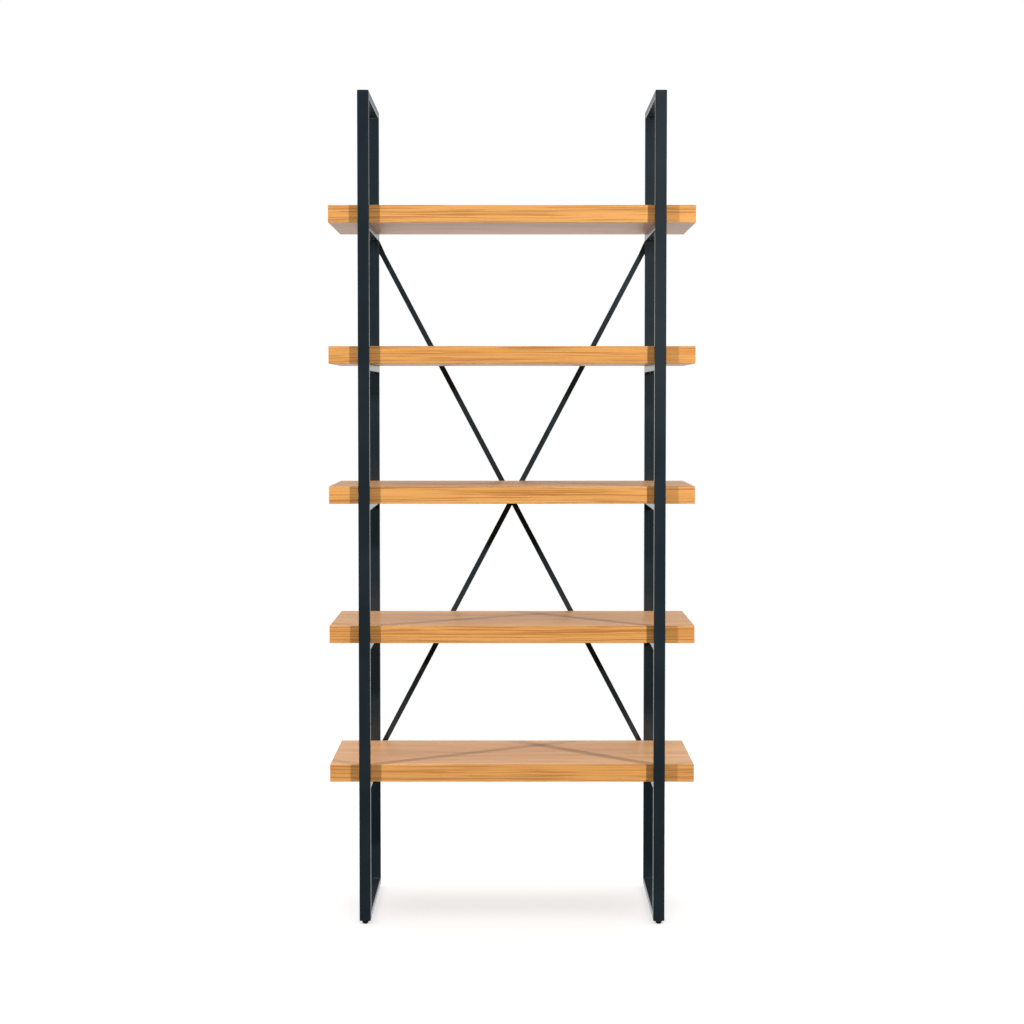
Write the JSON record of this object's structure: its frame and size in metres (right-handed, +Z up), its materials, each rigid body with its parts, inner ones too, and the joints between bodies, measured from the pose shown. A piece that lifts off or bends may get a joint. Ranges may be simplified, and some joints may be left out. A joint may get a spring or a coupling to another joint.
{
  "type": "bookcase",
  "caption": "Open bookcase: thick wooden shelves on rails between slim dark steel side frames, with a crossed flat-bar brace at the back and low levelling feet.",
  "frame": {"origin": "on the floor, under the middle of the bookcase", "axes": "+Z up, +Y from the open front to the braced back, +X to the right seen from the front"},
  "size_m": [0.8, 0.35, 1.82],
  "materials": {
    "powder_coated_steel": "satin powder coat with a very fine texture",
    "wood_face_veneer": "satin lacquer, straight grain along the shelf",
    "wood_edge_veneer": "satin lacquer, streaky straight grain",
    "chipboard": "raw",
    "black_screw_steel": "black oxide",
    "zinc_plated_steel": "bright zinc",
    "black_plastic": "matt"
  },
  "bodies": {
    "frame": {"left_front_post": "powder_coated_steel", "left_rear_post": "powder_coated_steel", "left_top_bar": "powder_coated_steel", "left_bottom_bar": "powder_coated_steel", "left_rail_1": "powder_coated_steel", "left_rail_2": "powder_coated_steel", "left_rail_3": "powder_coated_steel", "left_rail_4": "powder_coated_steel", "left_rail_5": "powder_coated_steel", "right_front_post": "powder_coated_steel", "right_rear_post": "powder_coated_steel", "right_top_bar": "powder_coated_steel", "right_bottom_bar": "powder_coated_steel", "right_rail_1": "powder_coated_steel", "right_rail_2": "powder_coated_steel", "right_rail_3": "powder_coated_steel", "right_rail_4": "powder_coated_steel", "right_rail_5": "powder_coated_steel", "shelf_screws": "black_screw_steel", "brace_rising_right": "powder_coated_steel", "brace_rising_left": "powder_coated_steel", "brace_end_bolts": "black_screw_steel", "brace_spacers": "black_screw_steel", "brace_rivet_nuts": "zinc_plated_steel", "brace_cross_bolt": "black_screw_steel", "brace_cross_nut": "black_screw_steel", "foot_rivet_nuts": "zinc_plated_steel"},
    "shelf_1": {"shelf_1_core": "chipboard", "shelf_1_faces": "wood_face_veneer", "shelf_1_edge_bands": "wood_edge_veneer", "shelf_1_inserts": "zinc_plated_steel"},
    "shelf_2": {"shelf_2_core": "chipboard", "shelf_2_faces": "wood_face_veneer", "shelf_2_edge_bands": "wood_edge_veneer", "shelf_2_inserts": "zinc_plated_steel"},
    "shelf_3": {"shelf_3_core": "chipboard", "shelf_3_faces": "wood_face_veneer", "shelf_3_edge_bands": "wood_edge_veneer", "shelf_3_inserts": "zinc_plated_steel"},
    "shelf_4": {"shelf_4_core": "chipboard", "shelf_4_faces": "wood_face_veneer", "shelf_4_edge_bands": "wood_edge_veneer", "shelf_4_inserts": "zinc_plated_steel"},
    "shelf_5": {"shelf_5_core": "chipboard", "shelf_5_faces": "wood_face_veneer", "shelf_5_edge_bands": "wood_edge_veneer", "shelf_5_inserts": "zinc_plated_steel"},
    "front_left_foot": {"front_left_foot_glide": "black_plastic", "front_left_foot_stud": "zinc_plated_steel"},
    "front_right_foot": {"front_right_foot_glide": "black_plastic", "front_right_foot_stud": "zinc_plated_steel"},
    "rear_left_foot": {"rear_left_foot_glide": "black_plastic", "rear_left_foot_stud": "zinc_plated_steel"},
    "rear_right_foot": {"rear_right_foot_glide": "black_plastic", "rear_right_foot_stud": "zinc_plated_steel"}
  },
  "joints": [
    {"name": "shelf_1_lift", "type": "slide", "parent": "frame", "child": "shelf_1", "axis": [0, 0, 1], "range_m": [0, 0.2]},
    {"name": "shelf_2_lift", "type": "slide", "parent": "frame", "child": "shelf_2", "axis": [0, 0, 1], "range_m": [0, 0.2]},
    {"name": "shelf_3_lift", "type": "slide", "parent": "frame", "child": "shelf_3", "axis": [0, 0, 1], "range_m": [0, 0.2]},
    {"name": "shelf_4_lift", "type": "slide", "parent": "frame", "child": "shelf_4", "axis": [0, 0, 1], "range_m": [0, 0.2]},
    {"name": "shelf_5_lift", "type": "slide", "parent": "frame", "child": "shelf_5", "axis": [0, 0, 1], "range_m": [0, 0.2]},
    {"name": "front_left_foot_height", "type": "slide", "parent": "frame", "child": "front_left_foot", "axis": [0, 0, -1], "range_m": [0, 0.01]},
    {"name": "front_right_foot_height", "type": "slide", "parent": "frame", "child": "front_right_foot", "axis": [0, 0, -1], "range_m": [0, 0.01]},
    {"name": "rear_left_foot_height", "type": "slide", "parent": "frame", "child": "rear_left_foot", "axis": [0, 0, -1], "range_m": [0, 0.01]},
    {"name": "rear_right_foot_height", "type": "slide", "parent": "frame", "child": "rear_right_foot", "axis": [0, 0, -1], "range_m": [0, 0.01]}
  ]
}
